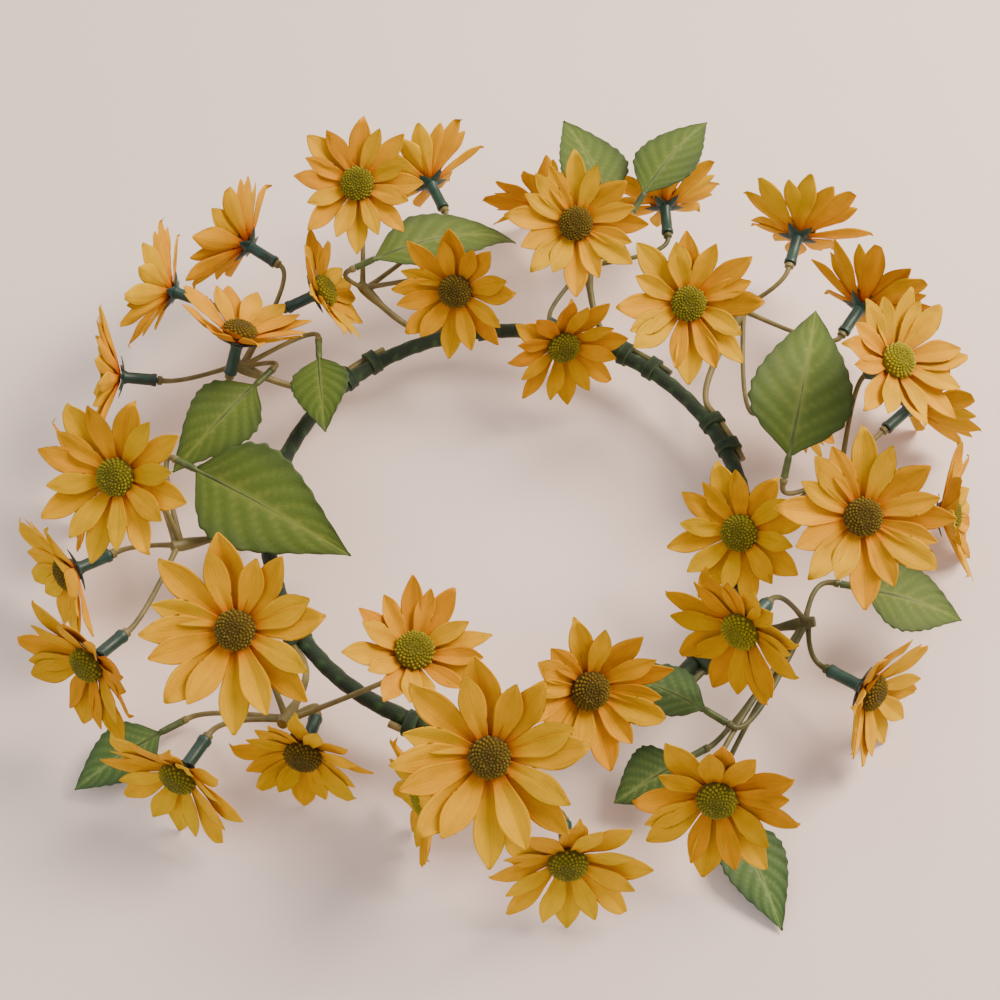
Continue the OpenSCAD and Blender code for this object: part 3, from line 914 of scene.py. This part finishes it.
@dataclass
class Leaves:
    """The printed cloth leaves with their moulded spines and sockets."""

    hoop: float = 92
    arch: float = 70
    socket: float = 9
    list: tuple[LeafPlace, ...] = (
        LeafPlace(7, 72, 40, 62, 110, 25, 10, 42, 30),
        LeafPlace(7, 66, 44, 68, 55, 25, -10, 42, 28),
        LeafPlace(8, 117, 26, 50, 25, 8, 10, 62, 26),
        LeafPlace(9, 140, 6, 38, -85, 5, 10, 32, 24),
        LeafPlace(9, 154, 18, 40, -125, 5, -20, 44, 28),
        LeafPlace(1, 178, 24, 46, -32, 5, 20, 58, 42),
        LeafPlace(5, 6, 14, 46, 76, 35, 0, 58, 40),
        LeafPlace(4, -52, 18, 32, 150, 10, 15, 36, 24),
        LeafPlace(4, -58, 24, 14, -150, 5, 0, 28, 24),
        LeafPlace(4, -56, 50, 6, -70, 10, 0, 38, 24),
        LeafPlace(2, -146, 60, 8, -145, 8, 0, 34, 24),
        LeafPlace(4, -16, 44, 30, -15, 5, 0, 36, 30),
    )

    def matrix(self, leaf: LeafPlace) -> Matrix:
        """The place of a leaf's own axes, in millimetres."""
        a = math.radians(leaf.angle)
        out = self.hoop + leaf.reach
        return (
            Matrix.Translation((out * math.cos(a), out * math.sin(a), leaf.height))
            @ Matrix.Rotation(math.radians(leaf.heading), 4, "Z")
            @ Matrix.Rotation(math.radians(-leaf.rise), 4, "Y")
            @ Matrix.Rotation(math.radians(leaf.roll), 4, "X")
        )

    def build(self) -> None:
        """Models every leaf as a blade and a spine."""
        cloths = [
            LeafCloth("printed polyester leaf cloth, olive").build(),
            LeafCloth("printed polyester leaf cloth, dark", margin="#1f3a1e", blade="#3d5e26", vein="#7c9450").build(),
        ]
        spine_plastic = Polyethylene("moulded polyethylene, leaf green", deep="#2f4420", worn="#55682e", rough=0.5).build()
        for number, leaf in enumerate(self.list):
            node = f"leaf_{number + 1}"
            world = np.array(self.matrix(leaf))
            for obj, material, slot in (
                (self.blade(leaf, number), cloths[number in (7, 8, 9, 10)], "leaf_fabric"),
                (self.spine(leaf), spine_plastic, "leaf_fabric"),
            ):
                co = places(obj)
                set_places(obj, (np.c_[co, np.ones(len(co))] @ world.T)[:, :3] * MM)
                obj.name = obj.data.name = f"{node}_{'blade' if slot == 'leaf_fabric' and material is not spine_plastic else 'spine'}"
                obj.data.materials.clear()
                obj.data.materials.append(material)
                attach(obj, ROOT)
                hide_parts(node)
            LOG.info("leaf %s: %.0f by %.0f mm", node, leaf.length, leaf.width)

    def blade(self, leaf: LeafPlace, number: int) -> bpy.types.Object:
        """Models a serrated, veined and arched blade on the leaf's own axes.

        Args:
            leaf: the leaf's sizes.
            number: its number, which seeds its small waves.

        Returns:
            The blade, in millimetres.
        """
        rng = random.Random(40 + number)
        rows, columns = 44, 16
        calm()
        bpy.ops.mesh.primitive_grid_add(x_subdivisions=rows, y_subdivisions=columns, size=1)
        obj = bpy.context.object
        co = places(obj)
        t = co[:, 0] + 0.5
        v = co[:, 1] * 2
        half = np.interp(t, [0, 0.05, 0.12, 0.22, 0.32, 0.44, 0.55, 0.68, 0.8, 0.9, 1], [0.03, 0.12, 0.27, 0.42, 0.49, 0.485, 0.43, 0.33, 0.21, 0.11, 0.0])
        tooth = (np.round(t * rows) % 4) / 4
        outer = np.clip((np.abs(v) - 0.86) / 0.14, 0, 1)
        half = half * leaf.width * (1 + outer * (0.09 * tooth - 0.045) * (t < 0.97))
        x = leaf.length * t
        y = v * half
        fold = 0.10 + 0.05 * rng.random()
        z = -(self.arch - np.sqrt(self.arch**2 - x * x)) + fold * np.abs(y) * (1 - 0.5 * t)
        # side veins leave the spine at a slant, seven pairs to a leaf
        phase = (t - 0.30 * np.abs(v)) * 7.5
        vein = np.exp(-(((phase - np.round(phase)) / 0.13) ** 2)) * np.clip(1.15 - np.abs(v), 0, 1) * (t > 0.04)
        spine = np.exp(-((v / 0.09) ** 2))
        puff = 0.35 * np.cos(phase * math.tau) * np.clip(np.abs(v) * 1.5, 0, 1) * np.sin(np.clip(t, 0, 1) * math.pi)
        z = z - puff - 0.25 * spine
        z = z + leaf.width * 0.018 * np.sin(t * rng.uniform(6, 9) + rng.uniform(0, 6) + v) * np.abs(v) ** 2
        set_places(obj, np.stack([x, y, z], 1))
        mark(obj, "vein", np.clip(vein * 0.7 + spine, 0, 1) * 0.8)
        mark(obj, "edge", np.abs(v) ** 2.5 * 0.5 + 0.12 * (t > 0.85))
        sub = obj.modifiers.new("round", "SUBSURF")
        sub.levels = sub.render_levels = 1
        wall = obj.modifiers.new("wall", "SOLIDIFY")
        wall.thickness = 0.4
        wall.offset = -1
        apply_all(obj)
        hold(obj)
        bpy.ops.object.shade_smooth()
        return obj

    def spine(self, leaf: LeafPlace) -> bpy.types.Object:
        """Models the moulded spine under a blade with the socket at its foot."""
        x = np.concatenate([np.linspace(-self.socket, -0.3, 8), np.linspace(0.2, 0.8 * leaf.length, 18)])
        z = -(self.arch - np.sqrt(self.arch**2 - np.clip(x, 0, None) ** 2)) - 0.55
        z[x < 0] = 0
        radii = np.interp(x, [-self.socket, -self.socket + 0.6, -self.socket + 1.0, -1.2, 0.6, 0.8 * leaf.length], [1.5, 1.55, 1.38, 1.35, 0.85, 0.25])
        path = np.stack([x, 0 * x, z], 1)
        obj = cane("spine", path, radii / MM * MM, 3)
        co = places(obj)
        mids = np.interp(co[:, 0], x, z)
        fat = np.stack([co[:, 0], co[:, 1] / MM * 1.0, mids + (co[:, 2] - mids) / MM], 1)
        set_places(obj, fat)
        smooth(obj, 60)
        return obj


# ---------- stems ----------


@dataclass
class Sprays:
    """The moulded sprays: a main stem bound to the hoop, a knuckle and its branchlets with collared pegs."""

    hoop: float = 92
    run: float = 96.5
    height: float = 20
    run_angle: float = 16
    stem_lead: float = 11
    step: float = 0.7
    knuckles: tuple[tuple[float, float, float], ...] = (
        (-170, 32, 34), (-130, 28, 34), (-88, 28, 26), (-26, 28, 32), (4, 34, 36), (44, 44, 32), (74, 30, 34), (120, 28, 34), (150, 32, 34),
    )

    def around(self, angle: float, r: float, z: float) -> np.ndarray:
        """A point at an angle round the hoop, in millimetres."""
        return np.array([r * math.cos(math.radians(angle)), r * math.sin(math.radians(angle)), z])

    def build(self, leaves: Leaves) -> None:
        """Models every spray with the branchlets that its heads and leaves sit on.

        Args:
            leaves: the leaves, whose stalks belong to the sprays.
        """
        plastics = [
            Polyethylene("moulded polyethylene, olive tan", deep="#55512a", worn="#857b48", rough=0.5, mark_mm=12).build(),
            Polyethylene("moulded polyethylene, moss", deep="#303a18", worn="#646334", rough=0.5, mark_mm=12).build(),
        ]
        for number, (angle, reach, height) in enumerate(self.knuckles):
            hub = self.around(angle, self.hoop + reach, height)
            a1 = angle - 12
            leave = self.around(a1, self.run, self.height)
            ahead = np.array([-math.sin(math.radians(a1)), math.cos(math.radians(a1)), 0])
            corner = leave + self.stem_lead * ahead
            out = (hub - corner) / np.linalg.norm(hub - corner)
            arc = np.array([self.around(angle - 28 + self.run_angle * i / 14, self.run, self.height) for i in range(15)])
            rest = bezier(leave, leave + 0.8 * (corner - leave), corner + 0.35 * (hub - corner), hub + 2.4 * out, 18)[1:]
            path = np.vstack([arc, rest])
            thick = np.concatenate([np.full(15, 1.38), np.interp(np.arange(17), [0, 3, 12, 14, 15, 16], [1.34, 1.25, 1.45, 2.3, 2.5, 1.9])])
            parts = [cane("main", path * MM, thick)]
            for joint in frame["joints"]:
                node = joint["child"].replace("_body", "")
                _, spray, place = node.split("_")
                if int(spray) == number + 1:
                    to = np.array(joint["pos_m"]) / MM
                    start = hub + self.step * (int(place) - 3) * out
                    parts.append(self.branchlet(start, to, np.array(joint["axis"]), 13, 1.18, 9.6, 1.9))
            for k, leaf in enumerate(leaves.list):
                if leaf.spray == number + 1:
                    spot = np.array(leaves.matrix(leaf))
                    start = hub + self.step * (0.3 * (k % 5) - 2) * out
                    parts.append(self.branchlet(start, spot[:3, 3], spot[:3, 0], leaves.socket, 0.78, 6.6, 1.5))
            spray = joined(parts, f"spray_{number + 1}_stems")
            smooth(spray, 40)
            spray.data.materials.append(plastics[number in (3, 6)])
            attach(spray, ROOT)
            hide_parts(f"spray_{number + 1}")
            LOG.info("spray %d: %d branchlets", number + 1, len(parts) - 1)

    def branchlet(self, start: np.ndarray, to: np.ndarray, along: np.ndarray, mouth: float, peg: float, peg_length: float, collar: float) -> bpy.types.Object:
        """Models one branchlet with its collar and peg.

        Args:
            start: where it leaves the knuckle.
            to: the point that its head or leaf is placed by.
            along: the peg's direction.
            mouth: how far the socket's mouth lies behind that point.
            peg: the peg's radius.
            peg_length: the peg's length inside the socket.
            collar: the collar's radius.

        Returns:
            The branchlet, in metres.
        """
        along = along / np.linalg.norm(along)
        foot = to - (mouth + 1.8) * along
        near = foot - min(0.4 * np.linalg.norm(foot - start), 8) * along
        bend = bezier(start, start + 0.45 * (near - start), near, foot - 0.7 * along, 20)
        stations = [-0.35, -0.15, 1.25, 1.45, 1.5, 1.5 + 0.3 + peg_length - 0.4, 1.5 + 0.3 + peg_length]
        sizes = [collar * 0.85, collar, collar, collar * 0.9, peg, peg, peg * 0.7]
        path = np.vstack([bend, [foot + s * along for s in stations]])
        radii = np.concatenate([np.interp(np.arange(20), [0, 2, 6, 16, 19], [1.35, 1.1, 0.95, 0.98, 1.15]), sizes])
        return cane("branchlet", path * MM, radii)


# ---------- hoop ----------


@dataclass
class TapedHoop:
    """The hoop's winding of crepe tape and the bands that bind each spray to it."""

    radius: float = 92
    thickness: float = 3.0
    height: float = 20
    pitch: float = 9
    band_radius: float = 5.15
    band_middle: float = 93.45
    band_angle: float = 2.5

    def build(self, sprays: Sprays) -> None:
        """Winds the tape and ties the bands.

        Args:
            sprays: the sprays, which tell where the bands go.
        """
        tape = CrepeTape("waxed crepe floral tape").build()
        calm()
        bpy.ops.mesh.primitive_torus_add(
            major_segments=1160, minor_segments=18, major_radius=self.radius, minor_radius=self.thickness, location=(0, 0, 0), mode="MAJOR_MINOR"
        )
        hoop = bpy.context.object
        hoop.name = hoop.data.name = "hoop_tape"
        co = places(hoop)
        theta = np.arctan2(co[:, 1], co[:, 0])
        out = np.hypot(co[:, 0], co[:, 1]) - self.radius
        phi = np.arctan2(co[:, 2], out)
        turns = round(math.tau * self.radius / self.pitch)
        lap = (turns * theta / math.tau + phi / math.tau) % 1.0
        r = self.thickness * (0.93 + 0.13 * lap) + 0.10 * np.sin(theta * 190 + phi * 2) * lap
        set_places(hoop, np.stack([(self.radius + r * np.cos(phi)) * np.cos(theta), (self.radius + r * np.cos(phi)) * np.sin(theta), self.height + r * np.sin(phi)], 1) * MM)
        # painted shade and highlight: each turn is darkest in the crease beside the raised edge of its neighbour and
        # grows paler up to its own raised edge, which is painted palest
        mark(hoop, "lap", np.where(lap > 0.86, 0.75, 0.15 + 0.2 * lap))
        smooth(hoop, 50)
        self.dress(hoop, tape, "tape_wrap")
        pattern = self.band()
        parts = []
        for angle, _, _ in sprays.knuckles:
            for share in (0.2, 0.7):
                band = twin(pattern, "band")
                mid = math.radians(angle - 28 + share * sprays.run_angle + self.band_angle / 2)
                co = places(band)
                x = self.band_middle + co[:, 0]
                turn = mid + co[:, 2] / self.band_middle
                set_places(band, np.stack([x * np.cos(turn), x * np.sin(turn), self.height + co[:, 1]], 1) * MM)
                parts.append(band)
        bpy.data.objects.remove(pattern)
        bands = joined(parts, "binding_bands")
        bpy.ops.object.mode_set(mode="EDIT")
        bpy.ops.mesh.select_all(action="SELECT")
        bpy.ops.mesh.normals_make_consistent(inside=False)
        calm()
        smooth(bands, 45)
        self.dress(bands, tape, "tie_bands")

    def dress(self, obj: bpy.types.Object, material: bpy.types.Material, node: str) -> None:
        """Gives a wound piece its tape and ties it to the hoop."""
        obj.data.materials.clear()
        obj.data.materials.append(material)
        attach(obj, ROOT)
        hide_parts(node)
        LOG.info("tape piece %s", obj.name)

    def band(self) -> bpy.types.Object:
        """Models one wound band, its axis along Z, in millimetres."""
        wide = self.band_middle * math.radians(self.band_angle)
        calm()
        bpy.ops.mesh.primitive_cylinder_add(vertices=36, radius=self.band_radius, depth=wide, end_fill_type="NGON")
        obj = bpy.context.object
        bpy.ops.object.mode_set(mode="EDIT")
        for share in (-0.32, -0.28, 0.1, 0.14):
            bpy.ops.mesh.select_all(action="SELECT")
            bpy.ops.mesh.bisect(plane_co=(0, 0, share * wide), plane_no=(0.12, 0.06, 1))
        calm()
        co = places(obj)
        # the wraps hug the pair of round things inside, so the band narrows above and below their middles
        squash = 1 - 0.16 * np.abs(co[:, 1] / self.band_radius) ** 2
        step = np.where(co[:, 2] > 0.11 * wide, 1.0, np.where(co[:, 2] > -0.3 * wide, 0.965, 1.0))
        co[:, 0] *= step
        co[:, 1] *= step * squash
        set_places(obj, co)
        # the band's two ends are painted paler than its middle
        mark(obj, "lap", np.where(np.abs(co[:, 2]) > 0.45 * wide, 0.7, 0.25))
        return obj


def main() -> None:
    """Builds the set, then the crown from the hoop out."""
    logging.basicConfig(level=logging.INFO, format="%(name)s: %(message)s")
    Studio().build()
    leaves = Leaves()
    sprays = Sprays()
    TapedHoop().build(sprays)
    sprays.build(leaves)
    leaves.build()
    FlowerHeads().build()
    wire, _ = Polyethylene("drawn steel wire").start(Metallic=1.0, Roughness=0.35)
    frame["nodes"]["hoop_wire"].data.materials.clear()
    frame["nodes"]["hoop_wire"].data.materials.append(wire)
    calm()


if __name__ == "__main__":
    main()
